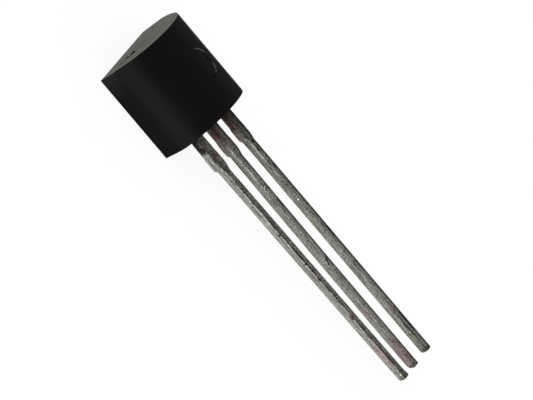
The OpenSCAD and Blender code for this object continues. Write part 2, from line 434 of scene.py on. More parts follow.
def makePit(look, pit, material):
    # a three-sided pit with a rough floor, deepest under its corner
    scar = look["gateScar"]
    grow = (pit["depth"] + scar["rim"]) / pit["depth"]
    turn = math.radians(pit["turn"])
    x, z = pit["corner"][0], look["partingZ"] + pit["corner"][1]
    along, across = grow * pit["longSide"], grow * pit["shortSide"]
    rimY = look["endY"] + scar["rim"]
    vertices = [(x, look["endY"] - pit["depth"], z), (x, rimY, z),
                (x + along * math.cos(turn), rimY, z + along * math.sin(turn)),
                (x - across * math.sin(turn), rimY, z + across * math.cos(turn))]
    hole = meshFrom("pit", vertices, [(0, 2, 1), (0, 1, 3), (0, 3, 2), (1, 2, 3)])
    driftTurn = math.radians(scar["driftTurn"])
    drift = Vector((math.cos(driftTurn), 0, math.sin(driftTurn)))
    with editing(hole.data) as shape:
        bmesh.ops.recalc_face_normals(shape, faces=shape.faces)
        bmesh.ops.subdivide_edges(shape, edges=shape.edges, cuts=scar["cuts"], use_grid_fill=True)
        bmesh.ops.triangulate(shape, faces=shape.faces)
        for vertex in shape.verts:
            if vertex.co.y < (look["endY"] + scar["rim"] / 2) * mm:
                place = vertex.co / (scar["grain"] * mm)
                push = Vector([noise.noise(place + Vector((seed, 0, 0))) for seed in scar["seeds"]])
                slow = vertex.co / (scar["driftGrain"] * mm)
                sway = drift * noise.noise(slow + Vector((0, scar["seeds"][0], 0)))
                vertex.co += (push * scar["roughness"] + sway * scar["drift"]) * mm
    hole.data.materials.append(material)
    return hole


def finishEpoxy(add, look, share, height, roughness):
    # mixes the two tones by the share, and gives the surface its relief and its dull shine
    colour = add("ShaderNodeMix", {"Factor": share, "A": hexToLinear(look["dark"]),
                 "B": hexToLinear(look["light"])}, data_type="RGBA")
    bump = add("ShaderNodeBump", {"Height": height, "Distance": look["depth"] * mm})
    shader = add("ShaderNodeBsdfPrincipled", {"Base Color": colour, "Roughness": roughness,
                 "Specular IOR Level": look["shine"], "Normal": bump})
    add("ShaderNodeOutputMaterial", {"Surface": shader})


def satinEpoxy(look):
    # black epoxy moulding compound, moulded in a spark-eroded cavity: near black, with a faint satin sheen
    # and a fine grain that only shows where light grazes it
    material, add = newMaterial("satin moulded black epoxy")
    place = add("ShaderNodeTexCoord").outputs["Object"]
    clouds = add("ShaderNodeTexNoise", {"Vector": place, "Scale": 1 / (look["cloudSize"] * mm), "Detail": 4.0,
                 "Roughness": 0.6})
    grain = add("ShaderNodeTexNoise", {"Vector": place, "Scale": 1 / (look["grainSize"] * mm), "Detail": 3.0,
                "Roughness": 0.6})
    roughness = add("ShaderNodeMapRange", [clouds, *noiseSpan, *look["roughness"]])
    finishEpoxy(add, look, clouds, grain, roughness)
    return material


def brokenEpoxy(look):
    # the same compound where it broke: filler grains stand out, and it has no moulded skin to shine
    material, add = newMaterial("fractured black epoxy")
    place = add("ShaderNodeTexCoord").outputs["Object"]
    grit = add("ShaderNodeTexNoise", {"Vector": place, "Scale": 1 / (look["gritSize"] * mm), "Detail": 6.0,
               "Roughness": 0.7})
    finishEpoxy(add, look, grit, grit, look["roughness"])
    return material


def pinWallHighlightEpoxy(look):
    # the compound on the ejector pin mark's wall, with a painted highlight: a pale, matt colour that comes
    # and goes on one side of the wall stands in for light caught there, and the rest of the wall stays black
    material, add = newMaterial("black epoxy, painted highlight on the pin mark wall")
    place = add("ShaderNodeTexCoord").outputs["Object"]
    grit = add("ShaderNodeTexNoise", {"Vector": place, "Scale": 1 / (look["gritSize"] * mm), "Detail": 5.0,
               "Roughness": 0.75})
    dragged = math.radians(look["towards"])
    side = add("ShaderNodeVectorMath", [place, (math.cos(dragged), math.sin(dragged), 0)],
               operation="DOT_PRODUCT").outputs["Value"]
    reach = add("ShaderNodeMapRange", [side, *(s * mm for s in look["side"])],
                interpolation_type="SMOOTHSTEP")
    patchy = add("ShaderNodeMapRange", [grit, *look["patches"], look["between"]],
                 interpolation_type="SMOOTHSTEP")
    share = add("ShaderNodeMath", [reach, patchy], operation="MULTIPLY")
    finishEpoxy(add, look, share, grit, look["roughness"])
    return material


epoxyLook = {
    "dark": "040404", "light": "090908",
    "cloudSize": 1.4,        # mm, the slow drift of tone over the body
    "grainSize": 0.07,       # mm, the spark-eroded grain
    "depth": 0.004,          # mm
    "roughness": (0.3, 0.38),
    "shine": 0.24,
}

fractureLook = {
    "dark": "030303", "light": "10100d",
    "gritSize": 0.09,        # mm, the silica filler, drawn coarser than it is so that it shows
    "depth": 0.03,
    "roughness": 0.9,
    "shine": 0.1,
}

# painted highlight on the pin mark's wall: the pale colour stands for light caught on one side of it
pinWallHighlightLook = {
    "dark": "050505", "light": "64645d",
    "gritSize": 0.45,        # mm
    "depth": 0.006,
    "towards": 10,           # degrees from +X to the side where the highlight is painted
    "side": (0.1, 0.36),     # mm towards that side over which the painted highlight sets in
    "patches": (0.38, 0.6),  # noise levels over which a patch sets in
    "between": 0.15,         # share of the painted highlight between the patches
    "roughness": 0.7,
    "shine": 0.2,
}


def makeMouldedBody(look):
    body = makeBodyShell(look)
    satin, broken = satinEpoxy(epoxyLook), brokenEpoxy(fractureLook)
    body.data.materials.append(satin)
    combine(body, makePinMark(look, satin, pinWallHighlightEpoxy(pinWallHighlightLook)), "DIFFERENCE", keepMaterials=True)
    for pit in look["gateScar"]["pits"]:
        combine(body, makePit(look, pit, broken), "DIFFERENCE", keepMaterials=True)
    for inside in ("left_lead", "middle_lead", "right_lead", "die", "die_solder",
                   "left_bond_wire", "right_bond_wire"):
        combine(body, mergedCopy(inside, "cavity"), "DIFFERENCE")
    smoothShade(body, look["sharpAngle"])
    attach(body, "root")
    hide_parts("moulded_body")
    return body


makeMouldedBody(mouldedBody)
print("moulded body done")


leadRow = {
    "partY": bodyLow.y + 0.235,  # where the swept outside part meets the frame inside the body
    "jointLap": 0.03,            # how far the swept part reaches into the inside part
    "stations": 640,
    "sideCuts": 4,
    "cornerSteps": 5,
    "edgeLimit": 0.9,            # largest edge radius, as a share of half the thickness
    "furrowLevel": 0.65,         # noise level that lies in the plain surface
    "sharpAngle": 40,            # degrees
    # sizes that all three leads share, by the names of the sweep's inputs, in mm
    "shared": {
        "Body End": bodyLow.y, "Height": mouldedBody["partingZ"], "Thickness": leadHigh.z - leadLow.z,
        "Shoulder Width": 0.55, "Shoulder Length": 1.1, "Shoulder Edge": 0.05, "Swell Length": 0.3,
        "Stump Width": 0.61, "Stump Length": 0.62, "Stump Shift": 0.03, "Stump Slope": 0.15,
        "Neck Length": 0.2, "Neck Skew": 0.27,
        "Shaft Width": 0.42, "Shaft Edge": 0.085, "Shift Length": 0.6, "Burr Start": 0.35, "Burr Full": 0.12,
        "Joint Inset": 0.02, "Relief": 0.008, "Relief Start": 0.2, "Grain Length": 0.9, "Grain Width": 0.12,
    },
    # and those of each lead: its lean is in degrees, and its seed gives it furrows and streaks of its own
    "leads": {
        "left": {
            "Row Place": -1.27, "Length": 14.58, "Tip Width": 0.39, "Lean": 1.13, "Bow": -0.012,
            "Side Shift": 0.0, "Left Swell": 0.07, "Tip Burr": 0.07, "Roll Radius": 0.19,
            "Corner Radius": 0.05, "Seed": 1.0,
        },
        "middle": {
            "Row Place": 0.0, "Length": 14.6, "Tip Width": 0.42, "Lean": 0.0, "Bow": -0.03,
            "Side Shift": 0.0, "Left Swell": 0.01, "Tip Burr": 0.01, "Roll Radius": 0.27,
            "Corner Radius": 0.04, "Seed": 2.0,
        },
        "right": {
            "Row Place": 1.27, "Length": 14.62, "Tip Width": 0.42, "Lean": 0.2, "Bow": 0.0,
            "Side Shift": 0.03, "Left Swell": -0.06, "Tip Burr": 0.01, "Roll Radius": 0.17,
            "Corner Radius": 0.08, "Seed": 3.0,
        },
    },
}


def buildLeadTree(look):
    # sweeps a square with round corners along the lead, then gives every station its own section
    tree = bpy.data.node_groups.new("leadSweep", "GeometryNodeTree")
    tree.interface.new_socket("Geometry", in_out="OUTPUT", socket_type="NodeSocketGeometry")
    for name in ["Start", *look["shared"], *look["leads"]["left"]]:
        tree.interface.new_socket(name, in_out="INPUT", socket_type="NodeSocketFloat")
    tree.interface.new_socket("Stations", in_out="INPUT", socket_type="NodeSocketInt")
    tree.interface.new_socket("Material", in_out="INPUT", socket_type="NodeSocketMaterial")
    add = partial(addNode, tree)
    given = add("NodeGroupInput").outputs

    # the sweep runs towards -Y from inside the body, where the distance from its end is negative
    first = add("ShaderNodeMath", [given["Start"], -1.0], operation="MULTIPLY")
    last = add("ShaderNodeMath", [first, given["Length"]], operation="SUBTRACT")
    pathEnd = add("ShaderNodeCombineXYZ", {"Y": last})
    path = add("GeometryNodeCurvePrimitiveLine", {"Start": (0, 0, 0), "End": pathEnd})
    stations = add("GeometryNodeResampleCurve", {"Curve": path, "Count": given["Stations"]})
    toCentre, radius = 5.0, 1.0  # mm from the square's middle to its round corners' centres, and their radius
    width = 2 * (toCentre + radius) * mm
    square = add("GeometryNodeCurvePrimitiveQuadrilateral", {"Width": width, "Height": width})
    divided = add("GeometryNodeSubdivideCurve", {"Curve": square, "Cuts": look["sideCuts"]})
    rounded = add("GeometryNodeFilletCurve", {"Curve": divided, "Radius": radius * mm,
                  "Count": look["cornerSteps"]}, mode="POLY")
    swept = add("GeometryNodeCurveToMesh", {"Curve": stations, "Profile Curve": rounded, "Fill Caps": True})
    swept = add("GeometryNodeMergeByDistance", {"Geometry": swept, "Distance": 0.001 * mm})

    # each point of the section is a place between the corners' centres plus a unit step outwards
    place = add("GeometryNodeInputPosition")
    flat = add("ShaderNodeVectorMath", [place, (1 / mm, 0, 1 / mm)], operation="MULTIPLY")
    capped = add("ShaderNodeVectorMath", [flat, (toCentre,) * 3], operation="MINIMUM")
    capped = add("ShaderNodeVectorMath", [capped, (-toCentre,) * 3], operation="MAXIMUM")
    outwards = add("ShaderNodeVectorMath", [flat, capped], operation="SUBTRACT")
    centre = add("ShaderNodeVectorMath", {"Vector": capped, "Scale": 1 / toCentre}, operation="SCALE")
    centreX = add("ShaderNodeSeparateXYZ", [centre]).outputs["X"]
    alongY = add("ShaderNodeSeparateXYZ", [place]).outputs["Y"]

    # distance from the body's end, and from the tip, where the stations close up round the rolled edge
    distance = add("ShaderNodeMath", [first, alongY], operation="SUBTRACT")
    toTip = add("ShaderNodeMath", [given["Length"], distance], operation="SUBTRACT")
    turned = add("ShaderNodeMapRange", [toTip, 0.0, given["Roll Radius"], 0.0, math.pi / 2])
    cosine = add("ShaderNodeMath", [turned], operation="COSINE")
    sine = add("ShaderNodeMath", [turned], operation="SINE")
    rolledIn = add("ShaderNodeMath", [1.0, sine], operation="SUBTRACT")
    rollInset = add("ShaderNodeMath", [rolledIn, given["Roll Radius"]], operation="MULTIPLY")
    rolledAlong = add("ShaderNodeMath", [1.0, cosine], operation="SUBTRACT")
    beyond = add("ShaderNodeMath", [toTip, given["Roll Radius"]], operation="SUBTRACT")
    beyond = add("ShaderNodeMath", [beyond, 0.0], operation="MAXIMUM")
    fromTip = add("ShaderNodeMath", [rolledAlong, given["Roll Radius"], beyond], operation="MULTIPLY_ADD")
    cornerRun = add("ShaderNodeMath", [given["Corner Radius"], fromTip], operation="SUBTRACT")
    cornerRun = add("ShaderNodeMath", [cornerRun, 0.0], operation="MAXIMUM")
    runSquare = add("ShaderNodeMath", [cornerRun, cornerRun], operation="MULTIPLY")
    radiusSquare = add("ShaderNodeMath", [given["Corner Radius"], given["Corner Radius"]],
                       operation="MULTIPLY")
    underRoot = add("ShaderNodeMath", [radiusSquare, runSquare], operation="SUBTRACT")
    cornerArc = add("ShaderNodeMath", [underRoot], operation="SQRT")
    cornerInset = add("ShaderNodeMath", [given["Corner Radius"], cornerArc], operation="SUBTRACT")

    # width: shoulder, dam bar stump, neck and slender part, with the two sides apart
    stumpStart, stumpFull = (add("ShaderNodeMath", [given["Shoulder Length"], given["Stump Slope"]],
                                 operation=step) for step in ("SUBTRACT", "ADD"))
    onStump = add("ShaderNodeMapRange", [distance, stumpStart, stumpFull], interpolation_type="SMOOTHSTEP")
    neckStart = add("ShaderNodeMath", [given["Shoulder Length"], given["Stump Length"]], operation="ADD")
    neckLeftEnd = add("ShaderNodeMath", [neckStart, given["Neck Length"]], operation="ADD")
    neckRightEnd = add("ShaderNodeMath", [neckLeftEnd, given["Neck Skew"]], operation="ADD")
    thinning = add("ShaderNodeMapRange", [distance, neckRightEnd, given["Length"]])
    slender = add("ShaderNodeMix", {"Factor": thinning, "A": given["Shaft Width"], "B": given["Tip Width"]})
    rightSide = add("ShaderNodeMath", [centreX, 0.0], operation="GREATER_THAN")
    neckEnd = add("ShaderNodeMix", {"Factor": rightSide, "A": neckLeftEnd, "B": neckRightEnd})
    pastNeck = add("ShaderNodeMapRange", [distance, neckStart, neckEnd], interpolation_type="SMOOTHSTEP")
    shiftSign = add("ShaderNodeMapRange", [rightSide, 0.0, 1.0, 1.0, -1.0])
    stumpSide = add("ShaderNodeMath", [shiftSign, given["Stump Shift"], given["Stump Width"]],
                    operation="MULTIPLY_ADD")
    wide = add("ShaderNodeMix", {"Factor": onStump, "A": given["Shoulder Width"], "B": stumpSide})
    swollen = add("ShaderNodeMapRange", [distance, 0.0, given["Swell Length"], 0.0, given["Left Swell"]])
    leftSide = add("ShaderNodeMath", [1.0, rightSide], operation="SUBTRACT")
    wide = add("ShaderNodeMath", [leftSide, swollen, wide], operation="MULTIPLY_ADD")
    width = add("ShaderNodeMix", {"Factor": pastNeck, "A": wide, "B": slender})
    burr = add("ShaderNodeMapRange", [toTip, given["Burr Start"], given["Burr Full"], 0.0, given["Tip Burr"]],
               interpolation_type="SMOOTHSTEP")
    width = add("ShaderNodeMath", [rightSide, burr, width], operation="MULTIPLY_ADD")
    edge = add("ShaderNodeMix", {"Factor": pastNeck, "A": given["Shoulder Edge"], "B": given["Shaft Edge"]})
    halfWidth = add("ShaderNodeMath", [width, 0.5], operation="MULTIPLY")
    halfWidth = add("ShaderNodeMath", [halfWidth, cornerInset], operation="SUBTRACT")
    # the tip's underside rolls up: the section gets thinner and rises by half of what it lost
    lift = add("ShaderNodeMath", [rollInset, 0.5], operation="MULTIPLY")
    halfHeight = add("ShaderNodeMath", [given["Thickness"], 0.5], operation="MULTIPLY")
    halfHeight = add("ShaderNodeMath", [halfHeight, lift], operation="SUBTRACT")
    edgeLimit = add("ShaderNodeMath", [halfHeight, look["edgeLimit"]], operation="MULTIPLY")
    edge = add("ShaderNodeMath", [edge, edgeLimit], operation="MINIMUM")

    # inside the body the swept part starts a little slimmer than the inside part that it enters
    slim = add("ShaderNodeMapRange", [distance, first, 0.0, given["Joint Inset"], 0.0])
    halves = {}
    for axis, half in {"X": halfWidth, "Z": halfHeight}.items():
        inner = add("ShaderNodeMath", [half, edge], operation="SUBTRACT")
        halves[axis] = add("ShaderNodeMath", [inner, slim], operation="SUBTRACT")
    toCorner = add("ShaderNodeCombineXYZ", halves)
    corner = add("ShaderNodeVectorMath", [centre, toCorner], operation="MULTIPLY")
    section = add("ShaderNodeVectorMath", [outwards, edge, corner], operation="MULTIPLY_ADD")

    # long, shallow furrows of the drawn and plated surface
    depth = add("ShaderNodeMapRange", [distance, 0.0, given["Relief Start"], 0.0, given["Relief"]])
    grainSize = add("ShaderNodeCombineXYZ",
                    [given["Grain Width"], given["Grain Length"], given["Grain Width"]])
    lengthwise = add("ShaderNodeCombineXYZ", {"Y": distance})
    plain = add("ShaderNodeVectorMath", [section, lengthwise], operation="ADD")
    grainPlace = add("ShaderNodeVectorMath", [plain, grainSize], operation="DIVIDE")
    furrows = add("ShaderNodeTexNoise", {"Vector": grainPlace, "W": given["Seed"], "Scale": 1.0,
                  "Detail": 3.0, "Roughness": 0.55}, noise_dimensions="4D")
    furrow = add("ShaderNodeMath", [furrows, look["furrowLevel"]], operation="SUBTRACT")
    relief = add("ShaderNodeMath", [furrow, depth], operation="MULTIPLY")
    swell = add("ShaderNodeVectorMath", [outwards, relief, section], operation="MULTIPLY_ADD")

    # the lead's own bend past the neck
    bent = add("ShaderNodeMath", [distance, neckLeftEnd], operation="SUBTRACT")
    bent = add("ShaderNodeMath", [bent, 0.0], operation="MAXIMUM")
    leaned = add("ShaderNodeMath", [bent, given["Lean"]], operation="MULTIPLY")
    bowTurn = add("ShaderNodeMapRange", [distance, neckLeftEnd, given["Length"], 0.0, math.pi])
    bowed = add("ShaderNodeMath", [bowTurn], operation="SINE")
    shiftEnd = add("ShaderNodeMath", [neckLeftEnd, given["Shift Length"]], operation="ADD")
    shifted = add("ShaderNodeMapRange", [distance, neckStart, shiftEnd, 0.0, given["Side Shift"]],
                  interpolation_type="SMOOTHSTEP")
    sideways = add("ShaderNodeMath", [bowed, given["Bow"], leaned], operation="MULTIPLY_ADD")
    for step in (shifted, given["Row Place"]):
        sideways = add("ShaderNodeMath", [sideways, step], operation="ADD")

    tipPlace = add("ShaderNodeMath", [given["Length"], fromTip], operation="SUBTRACT")
    downRow = add("ShaderNodeMath", [given["Body End"], tipPlace], operation="SUBTRACT")
    level = add("ShaderNodeMath", [given["Height"], lift], operation="ADD")
    spine = add("ShaderNodeCombineXYZ", {"X": sideways, "Y": downRow, "Z": level})
    final = add("ShaderNodeVectorMath", [swell, spine], operation="ADD")
    shaped = add("GeometryNodeSetPosition", {"Geometry": swept, "Position": final})
    painted = add("GeometryNodeSetMaterial", {"Geometry": shaped, "Material": given["Material"]})
    add("NodeGroupOutput", {"Geometry": painted})
    return tree


def sweepLead(tree, look, side, material):
    piece = newObject(side + "Lead", bpy.data.meshes.new(side + "Lead"))
    sweep = piece.modifiers.new("sweep", "NODES")
    sweep.node_group = tree
    own = dict(look["shared"], **look["leads"][side], Start=look["partY"] + look["jointLap"] - bodyLow.y)
    given = {name: size * mm for name, size in own.items()}
    given.update({"Lean": math.tan(math.radians(own["Lean"])), "Seed": own["Seed"],
                  "Stations": look["stations"], "Material": material})
    for socket in tree.interface.items_tree:
        if socket.in_out == "INPUT":
            sweep[socket.identifier] = given[socket.name]
    return freeze(piece)


def markAlongLead(piece, look, side):
    # gives every point its place across, along and above the bent centre line, for the tin's texture
    own = dict(look["shared"], **look["leads"][side])
    neckStart = own["Shoulder Length"] + own["Stump Length"]
    neckEnd = neckStart + own["Neck Length"]
    places = []
    for vertex in piece.data.vertices:
        x, y, z = vertex.co / mm
        distance = own["Body End"] - y
        past = max(0.0, distance - neckEnd)
        bow = own["Bow"] * math.sin(math.pi * min(1.0, past / (own["Length"] - neckEnd)))
        share = min(1.0, max(0.0, (distance - neckStart) / (neckEnd + own["Shift Length"] - neckStart)))
        shift = own["Side Shift"] * share * share * (3 - 2 * share)
        centre = own["Row Place"] + math.tan(math.radians(own["Lean"])) * past + bow + shift
        places += [x - centre, distance, z - own["Height"]]
    piece.data.attributes.new("alongLead", "FLOAT_VECTOR", "POINT").data.foreach_set("vector", places)


tinLook = {
    "seedStep": 7.0,               # mm of noise between one lead's seed and the next
    "streakSize": (0.06, 0.7),     # mm across and along the lead
    "streaks": 0.4,                # share by which the drawn streaks lighten and darken the plate
    "grainSize": 0.075,            # mm, drawn coarser than real plating grain so that it shows
    "grainDepth": 0.005,           # mm
    "grainSpan": (0.36, 0.64),     # noise levels of the darkest and the lightest grains
    "roughness": (0.36, 0.52),
    "toneRun": (3.0, 8.5),         # mm from the body, over which each face's painted light and shade goes from its first tone to its second
    "stumpEnd": (2.15, 1.75),      # mm from the body, over which the stump's wider faces set in
    "wideBorder": 0.09,            # mm by which the upper face's far border lies further out on the stump
    # the upper left corner: how softly the tones of its faces meet, where its line moves over along the lead,
    # and the painted highlight along it: tone, roughness and share of the shine gone, width from full to
    # nothing, where it sets in, what stays of it at the tip, how the streaks break it up, and how far from
    # the section's diagonal it is full
    "corner": {
        "soft": 0.04, "run": (6.0, 11.0),
        "tone": "f4f4ee", "roughness": 0.68, "matt": 0.45, "width": (0.035, 0.09),
        "start": (0.9, 1.8), "atTip": 0.45, "broken": (0.3, 0.55, 0.4), "diagonal": 0.15,
    },
    "ragged": {"size": 0.09, "span": (0.2, 0.8), "share": 1.3},  # how the outlines of the marks break up
    "markFade": (1.15, 0.6),       # shares of a mark's half size between which it sets in
    # for each lead: tones of the upper face and of the side face, painted lighter and darker from lead to
    # lead and face to face as the light falls on them, the shoulder's darkening by the body, painted shade
    # with some staining in it, and the mm from the body over which it ends, the upper face's shading across
    # (mm from the corner line and share), the strength and fading of the corner's painted highlight, how far
    # its line lies off the section's corner near the body and near the tip and how much further on the stump,
    # the shares of grain on the upper and side faces, and rows of marks, stains and nicks together with
    # painted highlights and
    # painted shade: place in mm from the body and round the section, half sizes, turn in degrees, colour,
    # strength, and how much of the metal's shine is gone
    "leads": {
        "left": {
            "upper": ("a2a29b", "acaca5"), "side": ("c0c1b9", "c4c5bd"),
            "shoulder": {"colour": "66665f", "strength": 0.5, "end": (1.0, 0.2)},
            "shading": [(-0.36, 0.9), (-0.3, 1.15), (-0.16, 1.05), (-0.08, 0.95),
                        (0.0, 1.0), (0.14, 0.93), (0.24, 1.0)],
            "cornerStrength": 0.75, "cornerFade": (2.0, 14.0), "cornerPlace": (0.015, -0.01),
            "stumpCorner": 0.1, "grains": (0.78, 0.34),
            "marks": [
                # the next two: painted shadow where the lead leaves the body
                ((0.08, 0.27), (0.22, 0.27), 0, "0c0b0a", 0.97, 0.7),
                ((0.34, 0.33), (0.32, 0.2), 0, "0c0b0a", 0.97, 0.7),
                ((0.68, 0.3), (0.25, 0.28), 0, "2b1817", 0.95, 0.4),
                ((0.42, 0.09), (0.15, 0.06), 0, "a6a69e", 0.75, 0),
                ((0.85, -0.1), (0.09, 0.13), 0, "8fa592", 0.5, 0),
                ((1.14, -0.13), (0.26, 0.1), -28, "80606a", 0.8, 0),
                ((1.3, 0.07), (0.14, 0.04), 0, "655a58", 0.7, 0),
                ((1.4, 0.36), (0.34, 0.035), 0, "33332f", 0.85, 0),
                ((1.58, -0.12), (0.12, 0.05), 0, "2d2d2b", 0.7, 0),
                ((2.1, -0.18), (0.13, 0.05), 0, "1f1f1d", 0.85, 0),
                ((2.6, 0.09), (0.2, 0.03), 0, "3f3f3b", 0.85, 0),
                ((5.0, -0.05), (3.6, 0.05), 0, "2c2c29", 0.55, 0),
                ((7.6, 0.12), (4.6, 0.028), 0, "74746e", 0.4, 0),
                ((4.1, 0.1), (0.07, 0.05), 0, "50504b", 0.8, 0),
                ((5.85, 0.02), (0.06, 0.13), 0, "262623", 0.85, 0),
                ((7.1, -0.05), (0.6, 0.055), 0, "10100f", 0.9, 0),
                ((7.62, 0.02), (0.06, 0.1), 0, "262623", 0.8, 0),
                ((8.15, -0.03), (0.3, 0.13), 0, "c9aeac", 0.5, 0),
                ((8.56, -0.01), (0.12, 0.06), 0, "0e0e0d", 0.92, 0),
                ((8.05, -0.09), (0.5, 0.045), 0, "171211", 0.7, 0),
                ((9.6, -0.095), (1.1, 0.042), 0, "121211", 0.75, 0),
                # painted highlight line along the corner
                ((9.5, 0.02), (1.0, 0.03), 0, "e6e6de", 0.55, 0),
                ((10.83, -0.01), (0.18, 0.1), 0, "7f4744", 0.85, 0),
                ((11.75, -0.07), (0.95, 0.045), 0, "121211", 0.8, 0),
                ((11.97, 0.0), (0.17, 0.1), 0, "b98683", 0.6, 0),
                # painted glint
                ((12.12, 0.06), (0.04, 0.04), 0, "ffffff", 1.0, 1.0),
                ((13.2, 0.05), (0.9, 0.28), 0, "d9bdb9", 0.5, 0),
                ((13.3, -0.08), (0.75, 0.05), 0, "0d0d0c", 0.85, 0),
                ((14.5, 0.1), (0.12, 0.5), 0, "5f5b57", 0.45, 0),
                # painted glint
                ((14.3, 0.06), (0.05, 0.05), 0, "fff2c8", 1.0, 1.0),
            ],
        },
        "middle": {
            "upper": ("cbcbc3", "d2d2ca"), "side": ("a6a7a0", "b8b9b1"),
            "shoulder": {"colour": "6b645b", "strength": 0.9, "end": (2.5, 0.3)},
            "shading": [(-0.36, 0.38), (-0.3, 0.48), (-0.24, 0.74), (-0.19, 1.1),
                        (-0.12, 1.22), (-0.06, 1.03), (0.0, 1.0), (0.24, 1.0)],
            "cornerStrength": 0.95, "cornerFade": (2.6, 5.0), "cornerPlace": (0.03, 0.03),
            "stumpCorner": 0.08, "grains": (0.56, 0.46),
            "marks": [
                ((0.3, -0.1), (0.16, 0.12), 0, "4c3222", 0.6, 0),
                ((0.55, 0.19), (0.42, 0.25), 0, "6a4e4d", 0.8, 0),
                ((1.1, 0.15), (0.34, 0.18), 0, "8d7377", 0.6, 0),
                ((1.68, -0.16), (0.04, 0.08), 0, "1d1d1b", 0.85, 0),
                ((1.62, 0.07), (0.22, 0.05), 0, "d8d9d2", 0.7, 0),
                # the next three: painted shade on the upper face's far border and on the side face
                ((2.5, -0.18), (0.8, 0.22), 0, "45453f", 0.22, 0),
                ((2.5, 0.28), (0.9, 0.1), 0, "55554f", 0.3, 0),
                ((13.9, 0.3), (0.9, 0.1), 0, "5c5a56", 0.3, 0),
                # the next seven: a nick drawn in colour alone, with painted highlights in its pale marks and
                # painted shade in its dark ones
                ((3.91, -0.04), (0.11, 0.04), -52, "ffffff", 1.0, 1.0),
                ((3.99, -0.09), (0.11, 0.032), -50, "3b3b36", 0.85, 0),
                ((3.82, -0.13), (0.1, 0.035), -75, "3b3b36", 0.8, 0),
                ((4.05, -0.26), (0.08, 0.05), -40, "10100f", 0.9, 0),
                ((4.04, -0.17), (0.06, 0.04), -60, "f0f0e8", 0.7, 0),
                ((4.11, 0.01), (0.13, 0.032), 48, "f4f4ee", 0.8, 0.3),
                ((3.8, 0.06), (0.1, 0.035), -45, "ffffff", 0.85, 0.4),
                ((4.98, -0.26), (0.42, 0.06), 0, "171715", 0.7, 0),
                ((5.33, -0.05), (0.05, 0.14), 0, "a5a974", 0.6, 0),
                ((7.0, 0.0), (0.06, 0.05), 0, "2b2b28", 0.85, 0),
                ((8.3, -0.13), (0.34, 0.055), -24, "0d0d0c", 0.95, 0),
                # painted highlight beside the dark line before it
                ((8.16, -0.06), (0.3, 0.045), -24, "ffffff", 0.6, 0),
                ((11.2, 0.12), (0.4, 0.25), 0, "c3adac", 0.6, 0),
                ((13.75, 0.03), (1.1, 0.4), 0, "c3a7ab", 0.65, 0),
                ((14.5, 0.0), (0.12, 0.45), 0, "5f5b57", 0.6, 0),
            ],
        },
        "right": {
            "upper": ("c4c4bc", "cecec6"), "side": ("a1a29a", "b9bab2"),
            "shoulder": {"colour": "554e45", "strength": 0.92, "end": (3.3, 0.4)},
            "shading": [(-0.36, 0.27), (-0.29, 0.35), (-0.235, 0.63), (-0.19, 0.98),
                        (-0.13, 1.2), (-0.06, 1.02), (0.0, 1.0), (0.24, 1.0)],
            "cornerStrength": 0.75, "cornerFade": (3.4, 5.0), "cornerPlace": (0.03, 0.03),
            "stumpCorner": 0.07, "grains": (0.58, 0.41),
            "marks": [
                # the next two: painted shadow where the lead leaves the body
                ((0.12, 0.0), (0.3, 0.7), 0, "171511", 0.85, 0),
                ((0.45, 0.24), (0.26, 0.12), 0, "1d1813", 0.75, 0),
                ((0.95, 0.28), (0.42, 0.15), 0, "5c3f3d", 0.8, 0),
                ((1.55, 0.26), (0.34, 0.16), 0, "a88c8d", 0.6, 0),
                ((1.0, -0.12), (0.3, 0.1), 0, "55604a", 0.5, 0),
                ((2.12, -0.19), (0.14, 0.06), 0, "0d0d0c", 0.95, 0),
                ((2.5, -0.13), (0.18, 0.045), 0, "1b1b19", 0.85, 0),
                ((3.36, -0.06), (0.2, 0.05), 0, "0d0d0c", 0.95, 0),
                ((3.58, -0.23), (0.12, 0.05), 0, "1b1b19", 0.8, 0),
                ((3.3, 0.12), (0.2, 0.03), 0, "343431", 0.7, 0),
                ((4.6, -0.02), (0.06, 0.14), 0, "96975c", 0.6, 0),
                # painted glint
                ((5.46, 0.05), (0.05, 0.045), 0, "ffffff", 0.95, 0.9),
                ((7.05, -0.13), (0.12, 0.05), 0, "262624", 0.7, 0),
                ((7.5, -0.27), (0.42, 0.07), 0, "121211", 0.8, 0),
                ((12.12, 0.02), (0.2, 0.25), 0, "a98f90", 0.5, 0),
                ((12.9, -0.22), (0.65, 0.05), 0, "151513", 0.8, 0),
                ((13.25, -0.02), (0.75, 0.08), 0, "1f1f1d", 0.85, 0),
                # painted highlight streak on the upper face
                ((13.15, -0.13), (0.4, 0.04), 0, "ffffff", 0.9, 0),
                ((13.7, 0.06), (0.22, 0.15), 0, "a9a974", 0.4, 0),
                ((13.2, 0.2), (1.3, 0.25), 0, "80807a", 0.25, 0),
                ((14.3, 0.15), (0.4, 0.35), 0, "74746c", 0.4, 0),
                ((14.55, 0.0), (0.14, 0.5), 0, "45433f", 0.65, 0),
            ],
        },
    },
}


def addMark(add, look, unrolled, edge, colour, metal, mark):
    # one mark: an oval with a ragged outline, its own colour, and less of the metal's shine if matt; the rows
    # hold stains and nicks, and also painted highlights and painted shade
    place, (halfLength, halfWidth), turn, tone, strength, matt = mark
    moved = add("ShaderNodeVectorMath", [unrolled, (*place, 0)], operation="SUBTRACT")
    turned = add("ShaderNodeVectorRotate", {"Vector": moved, "Angle": math.radians(turn)},
                 rotation_type="Z_AXIS")
    scaled = add("ShaderNodeVectorMath", [turned, (1 / halfLength, 1 / halfWidth, 0)], operation="MULTIPLY")
    reach = add("ShaderNodeVectorMath", [scaled], operation="LENGTH").outputs["Value"]
    reach = add("ShaderNodeMath", [reach, edge], operation="ADD")
    share = add("ShaderNodeMapRange", [reach, *look["markFade"], 0.0, strength],
                interpolation_type="SMOOTHSTEP")
    colour = add("ShaderNodeMix", {"Factor": share, "A": colour, "B": hexToLinear(tone)}, data_type="RGBA")
    if matt:
        metal = add("ShaderNodeMix", {"Factor": share, "A": metal, "B": 1 - matt})
    return colour, metal


